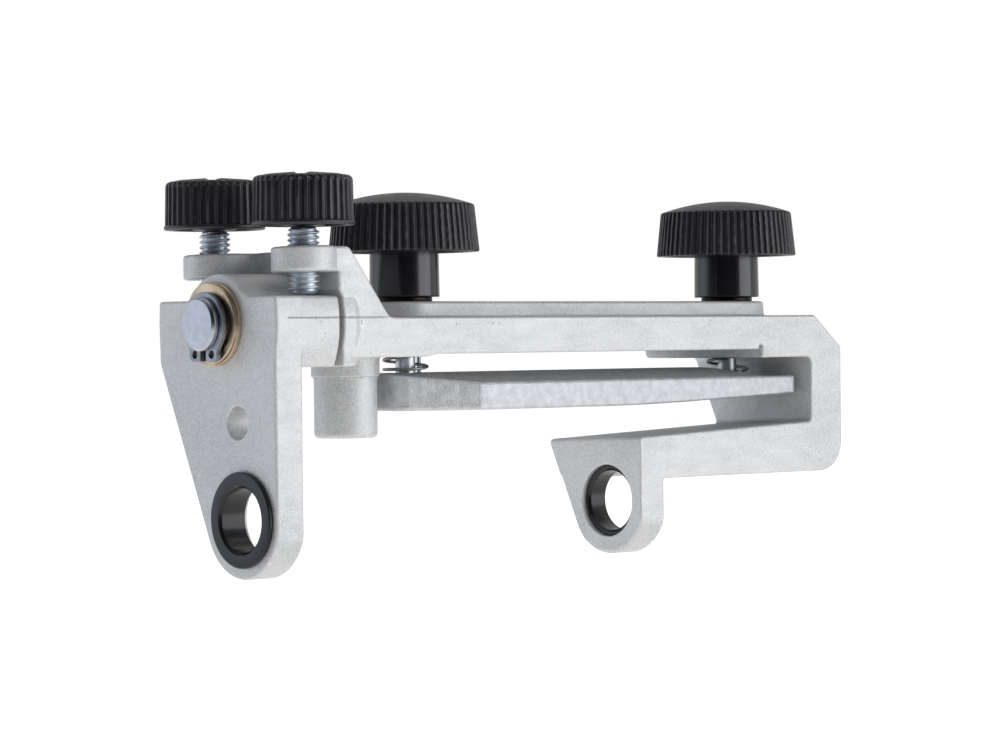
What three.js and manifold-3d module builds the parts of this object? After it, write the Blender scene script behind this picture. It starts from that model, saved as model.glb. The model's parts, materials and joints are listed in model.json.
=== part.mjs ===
// A square-edge grinding jig: a C-shaped cast frame that slides and swings on a 12 mm bar, a swing
// arm on a pivot pin whose angle two thumb screws set, and a spring-opened clamp bar that two
// knobs draw up against the underside of the frame's beam.
//
// Millimetres. The bar's axis is the X axis, +Y points to the back and +Z up, and X = 0 lies
// midway between the two clamp screws.

import * as THREE from 'three';
import { mergeVertices } from 'three/addons/utils/BufferGeometryUtils.js';
import Module from 'manifold-3d';

const wasm = await Module();
wasm.setup();

// ---------------------------------------------------------------- driving dimensions

const BAR_R = 6;                       // radius of the bar that both bushes slide on
const FRONT_Y = -9.9;                  // front face of the frame and of the arm
const PIVOT_Y = 7.5;                   // pivot pin, clamp screws and pad share this plane
const PIVOT_Z = 36;
const BACK_Y = 2 * PIVOT_Y - FRONT_Y;  // the beam is symmetric about the pivot plane
const HUB_R = 18;                      // rounded front and back of both hub blocks
const BARREL_R = 9.3;                  // round barrel of the arm's hub, between its shoulders
const PIN_R = 5;
const PIN_HOLE_R = 5.2;
const PIN_TIP_X = -94.7;
const PIN_END_X = -67.6;
const CIRCLIP = { x: [-93.3, -92.3], r: 6.05, lugZ: -6.9, lugY: 4.2, gap: 0.8, hole: 0.75 };
const GROOVE_R = 4.6;                  // the circlip's groove in the pin
const WASHER = { r: 7.75, holeR: 5.25, x: [-91, -90.2] };
const WAVE_WASHER = { r: 7.65, holeR: 5.3, x: -91.65, thick: 0.35, wave: 0.38 };

const ARM_X = [-90.1, -83.7];          // the arm's plate
const ARM_HUB_X = [-87.4, -75.1];      // the thicker hub block behind its top
const ARM_TOP_Z = 41;                  // front shoulder
const ARM_REAR_TOP_Z = 40.4;           // rear shoulder
const ARM_REAR_Y = 25.4;
const ARM_FOOT_R = 11;
const ARM_FOOT_Y = 0.6;
const HUB_BOTTOM_Z = 27.9;
const LIGHT_HOLE = { y: 1.55, z: 17.8, r: 3.05 };

const FRAME_HUB_X = [-74.2, -69.3];    // rounded collar of the frame's own hub
const FRAME_HUB_TOP_Z = 42.5;
const BEAM_Z = [30, 37];
const BEAM_LEFT_Z = 29.5;              // the underside left of the tool seat
const SEAT_X = [-51.2, 37.2];          // tool seat, from its left step to the tool stop
const STOP_Z = 28.3;                   // lower end of the tool stop
const GROOVE = { width: 0.8, depth: 0.9 };
const LEG_X = [51.9, 61];
const LEG_CORNER = { x: 53.1, z: 30.4 };
const ARM_LOW_Z = 4.4;                 // underside of the lower arm
const ARM_LOW_TOP = { left: 12.9, right: 14.9 };
const LOWER_TOP_FALL = 1.0;            // the lower arm's top is this much lower at the back
const LUG_X = [1.7, 8.3];
const LUG_R = 10.7;
const BACK_SLANT = 0.466;              // Y per Z of the slanted back, tangent to the lug's round

const HORN_TOP_Z = 50;
const HORN_LEFT_X = -74.9;
const EAR_X = -80.1;
const EAR_R = 6;
const LEVER = 13.45;                   // adjuster screws stand this far from the pivot plane
const FRONT_EAR_Z = [45.3, 50.1];
const REAR_EAR_Z = [44.3, 49.3];
const ADJUSTER_R = 2.95;               // M6
const ADJUSTER_HOLE_R = 3.3;

const SCREW_X = 44.55;                 // clamp screws at plus and minus this
const PAD = { r: 7.8, z: 40.1 };
const STUD = { r: 2.45, neckR: 1.95, holeR: 2.65, topZ: 56 };  // M5, fixed in the clamp bar
const INSERT = { r: 4, flangeR: 5.35, flange: 0.8, topZ: 52 };
const CLAMP_HOLE_R = 2.9;
const SPRING = { r: 4.25, wire: 0.3, turns: 3, seatR: 5.2, seatZ: 34 };
const BOSS = { x: -59.6, collarR: 6.55, collarZ: 25.8, r: 6.05, z: 14.15, chamfer: 0.95 };

const GUIDE = { x: -38.6, y: 10.5, r: 0.45, holeR: 0.75, z: [21, 33.5], holeZ: 35.7 };

const BUSH_R = 7.1;                    // outside radius of both bushes
const BUSH_HOLE_R = 7.2;
const FLANGE = { r: 8.9, t: 0.95 };

const CLAMP_BAR = {
  x: [-52.2, 50.3], y: [-6.9, 22], z: [19.1, 26.4], frontZ: 24.4, crestY: 5, neckX: -37.5,
  neckY: 0.5, endZ: 20.8, taperX: 7, rightZ: 24.5,
};
const BIG_KNOB = { rim: 14.65, top: 13.7, z: [49.5, 59.3], domeZ: 61.7, stemR: 6.8, footZ: 41 };
const SMALL_KNOB = { rim: 9.6, flange: 1, bottomR: 9.25, topR: 9.05, z: [53.9, 63.1], domeZ: 63.8 };
const CLEAR = 0.1;                     // between stacked or nested pieces

// ---------------------------------------------------------------- solids

const X = new THREE.Vector3(1, 0, 0);
const Y = new THREE.Vector3(0, 1, 0);
const Z = new THREE.Vector3(0, 0, 1);

// A closed geometry as a manifold solid, whichever way its triangles were wound.
function solid(geometry) {
  const bare = geometry.index ? geometry.toNonIndexed() : geometry;
  bare.deleteAttribute('normal');
  bare.deleteAttribute('uv');
  const merged = mergeVertices(bare, 1e-4);
  const index = Array.from(merged.index.array);
  const kept = [];
  for (let i = 0; i < index.length; i += 3) {
    const [a, b, c] = index.slice(i, i + 3);
    if (a !== b && b !== c && c !== a) kept.push(a, b, c);
  }
  const build = (triangles) => new wasm.Manifold(new wasm.Mesh({
    numProp: 3,
    vertProperties: new Float32Array(merged.attributes.position.array),
    triVerts: new Uint32Array(triangles),
  }));
  const made = build(kept);
  if (made.volume() > 0) return made;
  const flipped = [];
  for (let i = 0; i < kept.length; i += 3) flipped.push(kept[i], kept[i + 2], kept[i + 1]);
  return build(flipped);
}

function union(...parts) {
  return parts.reduce((sum, part) => sum.add(part));
}

// Closed outline from [u, v, radius] corners; a radius rounds its corner.
function outline(corners) {
  const shape = new THREE.Shape();
  const count = corners.length;
  corners.forEach(([u, v, r = 0], i) => {
    const here = new THREE.Vector2(u, v);
    const before = new THREE.Vector2(...corners[(i + count - 1) % count].slice(0, 2)).sub(here);
    const after = new THREE.Vector2(...corners[(i + 1) % count].slice(0, 2)).sub(here);
    const place = (point) => (i === 0 ? shape.moveTo(point.x, point.y) : shape.lineTo(point.x, point.y));
    if (r === 0) {
      place(here);
      return;
    }
    const half = before.angleTo(after) / 2;
    const back = r / Math.tan(half);
    const start = before.setLength(back).add(here);
    const end = after.setLength(back).add(here);
    const middle = start.clone().add(end).multiplyScalar(0.5).sub(here);
    const centre = middle.setLength(r / Math.sin(half)).add(here);
    place(start);
    const from = Math.atan2(start.y - centre.y, start.x - centre.x);
    let sweep = Math.atan2(end.y - centre.y, end.x - centre.x) - from;
    if (sweep > Math.PI) sweep -= 2 * Math.PI;
    if (sweep < -Math.PI) sweep += 2 * Math.PI;
    const steps = Math.max(2, Math.ceil(Math.abs(sweep) / 0.22));
    for (let k = 1; k <= steps; k += 1) {
      const angle = from + (sweep * k) / steps;
      shape.lineTo(centre.x + r * Math.cos(angle), centre.y + r * Math.sin(angle));
    }
  });
  return shape;
}

// Straight prisms. The outline's corners are (y, z), (x, z) or (x, y).
function prism(corners, from, to, across, up, along) {
  const geometry = new THREE.ExtrudeGeometry(outline(corners), { depth: to - from, bevelEnabled: false });
  geometry.applyMatrix4(new THREE.Matrix4().makeBasis(across, up, along));
  geometry.translate(...along.clone().multiplyScalar(from));
  return geometry;
}

const extruded = (...measures) => solid(prism(...measures));
const alongX = (corners, x) => extruded(corners, x[0], x[1], Y, Z, X);
const alongY = (corners, y) => extruded(corners, -y[1], -y[0], X, Z, Y.clone().negate());
const alongZ = (corners, z) => extruded(corners, z[0], z[1], X, Y, Z);

// A turned piece: [radius, height] profile about a line through (x, y, z) along X or Z.
function turned(profile, axis, [x, y, z], segments = 40) {
  const points = profile.map(([r, h]) => new THREE.Vector2(r, h));
  const geometry = new THREE.LatheGeometry(points, segments);
  if (axis === X) geometry.rotateZ(-Math.PI / 2);
  else geometry.rotateX(Math.PI / 2);
  geometry.translate(x, y, z);
  return solid(geometry);
}

// A plain round bar between two heights on its axis.
function round(r, from, to, axis, place, segments) {
  return turned([[0, from], [r, from], [r, to], [0, to]], axis, place, segments);
}

const onPivot = [0, PIVOT_Y, PIVOT_Z];
const onBar = [0, 0, 0];
const box = (x, y, z) => alongZ([[x[0], y[0]], [x[1], y[0]], [x[1], y[1]], [x[0], y[1]]], z);

// ---------------------------------------------------------------- frame

// The block that beam, leg and lower arm are cut from, seen from the front.
function blockProfile() {
  return [
    [FRAME_HUB_X[1] - 1, BEAM_Z[1]],
    [FRAME_HUB_X[1] - 1, BEAM_LEFT_Z],
    [LUG_X[0], BEAM_LEFT_Z],
    [LUG_X[0], ARM_LOW_Z],
    [LEG_X[1], ARM_LOW_Z, 6.2],
    [LEG_X[1], LEG_CORNER.z, 0.8],
    [LEG_CORNER.x, BEAM_Z[1], 0.8],
  ];
}

// The throat between beam and lower arm, with the tool seat, the tool stop and its groove. Its
// floor, the top of the lower arm, falls towards the back.
function throat() {
  const stopGroove = SEAT_X[1] - GROOVE.width;
  const geometry = prism([
    [LUG_X[0] - 1, ARM_LOW_TOP.left],
    [LEG_X[0] - 0.3, ARM_LOW_TOP.right, 1],
    [LEG_X[0], STOP_Z, 1.3],
    [SEAT_X[1], STOP_Z],
    [SEAT_X[1], BEAM_Z[0] + GROOVE.depth, 0.3],
    [stopGroove, BEAM_Z[0] + GROOVE.depth, 0.3],
    [stopGroove, BEAM_Z[0]],
    [SEAT_X[0], BEAM_Z[0]],
    [SEAT_X[0] - 2, BEAM_LEFT_Z],
    [SEAT_X[0] - 2, BEAM_LEFT_Z - 2],
    [LUG_X[0] - 1, BEAM_LEFT_Z - 2],
  ], -BACK_Y - 1, -FRONT_Y + 1, X, Z, Y.clone().negate());
  const position = geometry.attributes.position;
  for (let i = 0; i < position.count; i += 1) {
    const behind = (position.getY(i) - FRONT_Y) / (BACK_Y - FRONT_Y);
    if (position.getZ(i) < STOP_Z - 6) {
      position.setZ(i, position.getZ(i) - LOWER_TOP_FALL * behind);
    }
  }
  return solid(geometry);
}

// Everything behind the slanted back of the leg, lower arm and lug.
function slantCut() {
  const slope = (z) => Math.hypot(1, BACK_SLANT) * LUG_R + BACK_SLANT * z;
  const far = BACK_Y + 20;
  return alongX([
    [slope(-14), -14],
    [far, -14],
    [far, STOP_Z],
    [slope(STOP_Z), STOP_Z],
  ], [LUG_X[0] - 1, LEG_X[1] + 1]);
}

function lug() {
  const disc = round(LUG_R, LUG_X[0], LUG_X[1], X, onBar, 56);
  const tangentY = LUG_R / Math.hypot(1, BACK_SLANT);
  const tangentZ = -BACK_SLANT * tangentY;
  const web = alongX([
    [FRONT_Y, -4.1],
    [tangentY, tangentZ],
    [tangentY + BACK_SLANT * (ARM_LOW_Z + 1 - tangentZ), ARM_LOW_Z + 1],
    [FRONT_Y, ARM_LOW_Z + 1],
  ], LUG_X);
  const trim = box([LUG_X[0] - 1, LUG_X[1] + 1], [FRONT_Y - 4, FRONT_Y], [-14, 10]);
  return disc.add(web).subtract(trim);
}

// A slice of the pivot hub: round to the front and back, flat above and below.
function hubBlock(x, top) {
  const band = box(x, [PIVOT_Y - HUB_R - 1, PIVOT_Y + HUB_R + 1], [HUB_BOTTOM_Z, top]);
  return round(HUB_R, x[0], x[1], X, onPivot, 72).intersect(band);
}

// The left end of the frame: hub collar, horn and the two ears for the adjuster screws.
function horn() {
  const body = alongY([
    [HORN_LEFT_X, BEAM_Z[1] + 4],
    [FRAME_HUB_X[0], BEAM_Z[1]],
    [FRAME_HUB_X[0], HUB_BOTTOM_Z],
    [FRAME_HUB_X[0] + 0.6, HUB_BOTTOM_Z],
    [FRAME_HUB_X[0] + 2.2, BEAM_LEFT_Z],
    [-63, BEAM_LEFT_Z],
    [-60, BEAM_Z[1] - 1],
    [-60, BEAM_Z[1]],
    [-62.8, BEAM_Z[1], 2],
    [-72.4, HORN_TOP_Z, 1.2],
    [HORN_LEFT_X, HORN_TOP_Z],
  ], [FRONT_Y, BACK_Y]);
  const earAt = (side, z) => {
    const y = PIVOT_Y + side * LEVER;
    const inner = y - side * EAR_R;
    const disc = round(EAR_R, z[0], z[1], Z, [EAR_X, y, 0], 48);
    const bridge = alongZ([
      [EAR_X, inner],
      [HORN_LEFT_X - 2.4, inner],
      [HORN_LEFT_X - 0.6, inner - side * 0.9],
      [HORN_LEFT_X + 1, inner - side * 2.4],
      [HORN_LEFT_X + 1, y + side * 2.6],
      [EAR_X, y],
    ], z);
    return disc.add(bridge);
  };
  return union(body, earAt(-1, FRONT_EAR_Z), earAt(1, REAR_EAR_Z));
}

// The raised pad that both clamp knobs turn on.
function pad() {
  const ends = [-SCREW_X, SCREW_X].map((x) => round(PAD.r, BEAM_Z[1] - 1, PAD.z, Z, [x, PIVOT_Y, 0], 48));
  const middle = box([-SCREW_X, SCREW_X], [PIVOT_Y - PAD.r, PIVOT_Y + PAD.r], [BEAM_Z[1] - 1, PAD.z]);
  return union(middle, ...ends);
}

function boss() {
  return turned([
    [0, BEAM_LEFT_Z + 1],
    [BOSS.collarR, BEAM_LEFT_Z + 1],
    [BOSS.collarR, BOSS.collarZ],
    [BOSS.r, BOSS.collarZ - 0.3],
    [BOSS.r, BOSS.z + BOSS.chamfer],
    [BOSS.r - BOSS.chamfer, BOSS.z],
    [0, BOSS.z],
  ], Z, [BOSS.x, PIVOT_Y, 0], 48);
}

function frameCasting() {
  const c = alongY(blockProfile(), [FRONT_Y, BACK_Y]).subtract(throat()).subtract(slantCut());
  const body = union(c, lug(), hubBlock(FRAME_HUB_X, FRAME_HUB_TOP_Z), horn(), pad(), boss());
  const clampHoles = [-SCREW_X, SCREW_X].map((x) => round(CLAMP_HOLE_R, 20, 45, Z, [x, PIVOT_Y, 0]));
  const springSeats = [-SCREW_X, SCREW_X].map(
    (x) => round(SPRING.seatR, BEAM_LEFT_Z - 5, SPRING.seatZ, Z, [x, PIVOT_Y, 0]),
  );
  const adjusterHoles = [-1, 1].map(
    (side) => round(ADJUSTER_HOLE_R, 43, 52, Z, [EAR_X, PIVOT_Y + side * LEVER, 0]),
  );
  const guideHole = round(GUIDE.holeR, BEAM_LEFT_Z - 1, GUIDE.holeZ, Z, [GUIDE.x, GUIDE.y, 0], 16);
  return [
    round(PIN_HOLE_R, FRAME_HUB_X[0] - 1, PIN_END_X + 0.4, X, onPivot),
    round(BUSH_HOLE_R, LUG_X[0] - 1, LUG_X[1] + 1, X, onBar, 48),
    guideHole,
    ...clampHoles,
    ...springSeats,
    ...adjusterHoles,
  ].reduce((left, hole) => left.subtract(hole), body);
}

// ---------------------------------------------------------------- swing arm

function swingArm() {
  const foot = round(ARM_FOOT_R, ARM_X[0], ARM_X[1], X, [0, ARM_FOOT_Y, 0], 60);
  const knee = { y: ARM_REAR_Y, z: 28.8 };
  const toFoot = new THREE.Vector2(ARM_FOOT_Y - knee.y, -knee.z);
  const turn = Math.asin(ARM_FOOT_R / toFoot.length());
  const tangent = Math.sqrt(toFoot.lengthSq() - ARM_FOOT_R ** 2);
  const heading = toFoot.angle() + turn;
  const touch = [knee.y + tangent * Math.cos(heading), knee.z + tangent * Math.sin(heading)];
  const plate = alongX([
    [FRONT_Y, -4],
    touch,
    [knee.y, knee.z, 3],
    [ARM_REAR_Y, ARM_REAR_TOP_Z - 0.4, 0.8],
    [PIVOT_Y + 7, ARM_REAR_TOP_Z],      // the step between the shoulders hides in the barrel
    [PIVOT_Y - 7, ARM_TOP_Z],
    [FRONT_Y, ARM_TOP_Z, 0.4],
  ], ARM_X);
  const trim = box([ARM_X[0] - 1, ARM_X[1] + 1], [FRONT_Y - 4, FRONT_Y], [-14, 20]);
  const barrel = round(BARREL_R, ARM_X[0], ARM_HUB_X[1], X, onPivot, 56);
  const rearTop = box(ARM_HUB_X, [PIVOT_Y, PIVOT_Y + HUB_R + 1], [ARM_REAR_TOP_Z, ARM_TOP_Z + 1]);
  const hub = hubBlock(ARM_HUB_X, ARM_TOP_Z).subtract(rearTop);
  return union(plate, foot)
    .subtract(trim)
    .add(hub)
    .add(barrel)
    .subtract(round(PIN_HOLE_R, ARM_X[0] - 1, ARM_HUB_X[1] + 1, X, onPivot))
    .subtract(round(BUSH_HOLE_R, ARM_X[0] - 1, ARM_X[1] + 1, X, onBar, 48))
    .subtract(round(LIGHT_HOLE.r, ARM_X[0] - 1, ARM_X[1] + 1, X, [0, LIGHT_HOLE.y, LIGHT_HOLE.z], 32));
}

// ---------------------------------------------------------------- bushes, pivot

// A plain bush between two X planes, with both mouths of its bore chamfered.
function bushProfile(x, mouth) {
  return [
    [BAR_R, x[0] + mouth],
    [BAR_R, x[1] - mouth],
    [BAR_R + mouth, x[1]],
    [BUSH_R, x[1]],
    [BUSH_R, x[0]],
    [BAR_R + mouth, x[0]],
    [BAR_R, x[0] + mouth],
  ];
}

function leftBush() {
  const x = [ARM_X[0] - FLANGE.t, ARM_X[1] - 1.1];
  const seat = ARM_X[0] - CLEAR / 2;
  const mouth = 0.4;
  return turned([
    [BAR_R, x[0] + mouth],
    [BAR_R, x[1] - mouth],
    [BAR_R + mouth, x[1]],
    [BUSH_R, x[1]],
    [BUSH_R, seat],
    [FLANGE.r, seat],
    [FLANGE.r, x[0]],
    [BAR_R + mouth, x[0]],
    [BAR_R, x[0] + mouth],
  ], X, onBar, 48);
}

const rightBush = () => turned(bushProfile([LUG_X[0] + 0.9, LUG_X[1] - 0.8], 0.5), X, onBar, 48);

function pivotPin() {
  return turned([
    [0, PIN_TIP_X],
    [PIN_R - 0.5, PIN_TIP_X],
    [PIN_R, PIN_TIP_X + 0.5],
    [PIN_R, CIRCLIP.x[0] - CLEAR],
    [GROOVE_R, CIRCLIP.x[0] - CLEAR],
    [GROOVE_R, CIRCLIP.x[1] + CLEAR],
    [PIN_R, CIRCLIP.x[1] + CLEAR],
    [PIN_R, PIN_END_X],
    [0, PIN_END_X],
  ], X, onPivot);
}

// External retaining ring: wider at the bottom, where two plier lugs leave a gap.
function circlip() {
  const { x, r, lugZ, lugY } = CIRCLIP;
  const through = [x[0] - 1, x[1] + 1];
  const ring = round(r, x[0], x[1], X, [0, PIVOT_Y, PIVOT_Z - 0.15], 48);
  const lugs = alongX([
    [PIVOT_Y - lugY, PIVOT_Z - 3.8, 0.6],
    [PIVOT_Y - lugY, PIVOT_Z + lugZ, 1.2],
    [PIVOT_Y + lugY, PIVOT_Z + lugZ, 1.2],
    [PIVOT_Y + lugY, PIVOT_Z - 3.8, 0.6],
  ], x);
  const gap = box(through, [PIVOT_Y - CIRCLIP.gap, PIVOT_Y + CIRCLIP.gap], [PIVOT_Z - 8, PIVOT_Z - 3]);
  const holes = [-1, 1].map(
    (side) => round(CIRCLIP.hole, ...through, X, [0, PIVOT_Y + side * 2.5, PIVOT_Z - 5.6], 16),
  );
  return union(ring, lugs)
    .subtract(round(GROOVE_R + 0.08, ...through, X, onPivot))
    .subtract(gap)
    .subtract(holes[0])
    .subtract(holes[1]);
}

// The four corners of a ring's section, closed, for turning about the pivot.
const ringProfile = (inner, outer, x) => [
  [inner, x[0]], [outer, x[0]], [outer, x[1]], [inner, x[1]], [inner, x[0]],
];

const pivotWasher = () => turned(ringProfile(WASHER.holeR, WASHER.r, WASHER.x), X, onPivot, 48);

// Spring washer with two waves, between the flat washer and the retaining ring.
function waveWasher() {
  const { r, holeR, x, thick, wave } = WAVE_WASHER;
  const profile = ringProfile(holeR, r, [-thick / 2, thick / 2]);
  const geometry = new THREE.LatheGeometry(profile.map(([u, v]) => new THREE.Vector2(u, v)), 48);
  geometry.rotateZ(-Math.PI / 2);
  const position = geometry.attributes.position;
  for (let i = 0; i < position.count; i += 1) {
    const angle = Math.atan2(position.getZ(i), position.getY(i));
    position.setX(i, position.getX(i) + x + wave * Math.cos(2 * angle));
  }
  geometry.translate(0, PIVOT_Y, PIVOT_Z);
  return solid(geometry);
}

// ---------------------------------------------------------------- adjusters

// A screw from its rounded tip up into the knob.
function adjusterScrew(y, tipZ) {
  const top = SMALL_KNOB.z[0] - CLEAR;
  return turned([
    [0, tipZ],
    [ADJUSTER_R - 1, tipZ],
    [ADJUSTER_R, tipZ + 0.8],
    [ADJUSTER_R, top],
    [0, top],
  ], Z, [EAR_X, y, 0], 32);
}

function adjusterKnob(y) {
  const { rim, flange, bottomR, topR, z, domeZ } = SMALL_KNOB;
  return turned([
    [0, z[0]],
    [rim, z[0]],
    [rim, z[0] + flange],
    [bottomR, z[0] + flange + 0.2],
    [topR, z[1] - 0.8],
    [topR - 0.9, z[1]],
    [4, domeZ],
    [0, domeZ],
  ], Z, [EAR_X, y, 0], 40);
}

// ---------------------------------------------------------------- clamp

// The clamp bar's underside, level at first and then rising to the right end.
function barUnderside(x) {
  const { x: ends, z, endZ, taperX } = CLAMP_BAR;
  return z[0] + Math.max(0, (x - taperX) / (ends[1] - taperX)) * (endZ - z[0]);
}

// A stud fixed in the clamp bar. Its waist lies between bar and beam, its thread above.
function clampStud(x, barTopZ) {
  const foot = barUnderside(x) + 0.3;
  return turned([
    [0, foot],
    [STUD.r - 0.6, foot],
    [STUD.r, foot + 0.6],
    [STUD.r, barTopZ - 0.6],
    [STUD.neckR, barTopZ - 0.1],
    [STUD.neckR, SPRING.seatZ + 0.6],
    [STUD.r, SPRING.seatZ + 1.1],
    [STUD.r, STUD.topZ - 0.6],
    [STUD.r - 0.6, STUD.topZ],
    [0, STUD.topZ],
  ], Z, [x, PIVOT_Y, 0], 28);
}

// A knob that is hollow under its rim, with a deep bore for the stud and its threaded insert.
function clampKnob(x) {
  const { rim, top, z, domeZ, stemR, footZ } = BIG_KNOB;
  const boreR = STUD.holeR + CLEAR;
  const socketR = INSERT.r + CLEAR;
  const roofZ = z[0] + 2.4;
  return turned([
    [0, STUD.topZ + 2.4],
    [boreR, STUD.topZ + 2.4],
    [boreR, INSERT.topZ + CLEAR],
    [socketR, INSERT.topZ + CLEAR],
    [socketR, footZ],
    [stemR, footZ],
    [stemR - 0.15, roofZ],
    [rim - 1.5, roofZ],
    [rim - 0.7, z[0]],
    [rim, z[0] + 0.7],
    [top, z[1] - 0.6],
    [top - 0.8, z[1]],
    [top * 0.6, z[1] + (domeZ - z[1]) * 0.66],
    [0, domeZ],
  ], Z, [x, PIVOT_Y, 0], 48);
}

// The threaded insert in the knob's stem. Its flange turns on the frame's pad.
function knobInsert(x) {
  const footZ = PAD.z + CLEAR / 2;
  const flangeZ = footZ + INSERT.flange;
  return turned([
    [STUD.holeR, footZ],
    [STUD.holeR, INSERT.topZ],
    [INSERT.r, INSERT.topZ],
    [INSERT.r, flangeZ],
    [INSERT.flangeR, flangeZ],
    [INSERT.flangeR, footZ],
    [STUD.holeR, footZ],
  ], Z, [x, PIVOT_Y, 0], 40);
}

// The clamp bar: crowned towards its front and back edges, thinner to the right, with a low
// shelf under the right spring and an oblique left end.
function clampBar() {
  const { x, y, z, frontZ, crestY, neckX, neckY, taperX, rightZ } = CLAMP_BAR;
  const mirror = (v) => 2 * PIVOT_Y - v;
  const plan = alongZ([
    [x[0], neckY, 2.2],
    [neckX, y[0], 3],
    [x[1], y[0], 1.2],
    [x[1], y[1], 1.2],
    [neckX, y[1], 3],
    [x[0], mirror(neckY), 2.2],
  ], z);
  const section = alongX([
    [y[0], z[0], 0.9],
    [y[1], z[0], 0.9],
    [y[1], frontZ, 0.5],
    [mirror(0.5), z[1] - 0.45],
    [mirror(crestY), z[1]],
    [crestY, z[1]],
    [0.5, z[1] - 0.45],
    [y[0], frontZ, 0.5],
  ], [x[0] - 1, x[1] + 1]);
  const beyond = x[1] + 5;
  const under = alongY([
    [taperX, z[0] - 1],
    [beyond, z[0] - 1],
    [beyond, barUnderside(beyond)],
    [taperX, z[0]],
  ], [y[0] - 1, y[1] + 1]);
  const shelf = alongZ([
    [43.5, y[0] - 1],
    [x[1] + 1, y[0] - 1],
    [x[1] + 1, y[1] + 1],
    [33, y[1] + 1],
    [33, 8],
  ], [rightZ, z[1] + 1]);
  const holes = [-SCREW_X, SCREW_X].map((sx) => round(STUD.holeR, 18, 28, Z, [sx, PIVOT_Y, 0], 28));
  const pinHole = round(GUIDE.r + 0.15, GUIDE.z[0] - 0.3, 28, Z, [GUIDE.x, GUIDE.y, 0], 16);
  return plan
    .intersect(section)
    .subtract(under)
    .subtract(shelf)
    .subtract(holes[0])
    .subtract(holes[1])
    .subtract(pinHole);
}

// A slim pin fixed in the clamp bar, sliding in the frame, that keeps the bar square.
const guidePin = () => round(GUIDE.r, GUIDE.z[0], GUIDE.z[1], Z, [GUIDE.x, GUIDE.y, 0], 12);

// Compression spring between the clamp bar and its seat in the beam.
function clampSpring(x, footZ) {
  const low = footZ + SPRING.wire + CLEAR;
  const high = SPRING.seatZ - SPRING.wire - CLEAR;
  class Helix extends THREE.Curve {
    getPoint(t) {
      const angle = 2 * Math.PI * (SPRING.turns * t) + 0.6;
      const endTurn = 0.25;
      const rise = THREE.MathUtils.clamp((t - endTurn / SPRING.turns) / (1 - (2 * endTurn) / SPRING.turns), 0, 1);
      return new THREE.Vector3(
        x + SPRING.r * Math.cos(angle),
        PIVOT_Y + SPRING.r * Math.sin(angle),
        low + (high - low) * THREE.MathUtils.smoothstep(rise, -0.15, 1.15),
      );
    }
  }
  const section = new THREE.Shape();
  section.absarc(0, 0, SPRING.wire, 0, 2 * Math.PI);
  return solid(new THREE.ExtrudeGeometry(section, {
    extrudePath: new Helix(), steps: 54, curveSegments: 4, bevelEnabled: false,
  }));
}

// ---------------------------------------------------------------- assembly

const CAST = { color: 0xb9bdc2, roughness: 0.45, metalness: 0.9 };
const ZINC = { color: 0xaab4ba, roughness: 0.35, metalness: 1 };
const STEEL = { color: 0x9da3a8, roughness: 0.3, metalness: 1 };
const BRASS = { color: 0xc9a468, roughness: 0.3, metalness: 1 };
const BLACK = { color: 0x1b1b1d, roughness: 0.45, metalness: 0 };

const jig = new THREE.Group();

function piece(name, manifold, finish) {
  const { vertProperties, triVerts } = manifold.getMesh();
  const geometry = new THREE.BufferGeometry();
  geometry.setAttribute('position', new THREE.BufferAttribute(new Float32Array(vertProperties), 3));
  geometry.setIndex(new THREE.BufferAttribute(new Uint32Array(triVerts), 1));
  geometry.computeVertexNormals();
  const mesh = new THREE.Mesh(geometry, new THREE.MeshStandardMaterial(finish));
  mesh.name = name;
  jig.add(mesh);
}

piece('frame_casting', frameCasting(), CAST);
piece('right_bar_bush', rightBush(), BLACK);
piece('swing_arm', swingArm(), CAST);
piece('left_bar_bush', leftBush(), BLACK);
piece('pivot_pin', pivotPin(), STEEL);
piece('pivot_circlip', circlip(), STEEL);
piece('pivot_washer', pivotWasher(), BRASS);
piece('wave_washer', waveWasher(), BRASS);

const adjusters = [
  ['front', PIVOT_Y - LEVER, ARM_TOP_Z + 0.3],
  ['rear', PIVOT_Y + LEVER, ARM_REAR_TOP_Z + 0.3],
];
for (const [side, y, tipZ] of adjusters) {
  piece(`${side}_adjuster_screw`, adjusterScrew(y, tipZ), ZINC);
  piece(`${side}_adjuster_knob`, adjusterKnob(y), BLACK);
}

const clamps = [
  ['left', -SCREW_X, CLAMP_BAR.z[1]],
  ['right', SCREW_X, CLAMP_BAR.rightZ],
];
for (const [side, x, barTopZ] of clamps) {
  piece(`${side}_clamp_knob`, clampKnob(x), BLACK);
  piece(`${side}_knob_insert`, knobInsert(x), BRASS);
  piece(`${side}_clamp_stud`, clampStud(x, barTopZ), ZINC);
  piece(`${side}_clamp_spring`, clampSpring(x, barTopZ), STEEL);
}
piece('clamp_bar', clampBar(), ZINC);
piece('guide_pin', guidePin(), STEEL);

export default jig;
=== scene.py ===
"""A square edge grinding jig: the looks around its CAD frame. Shapes are worked out in millimetres."""

import json
import math
from contextlib import contextmanager

import bmesh
import bpy
import numpy as np
from mathutils import Matrix, Vector


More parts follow.
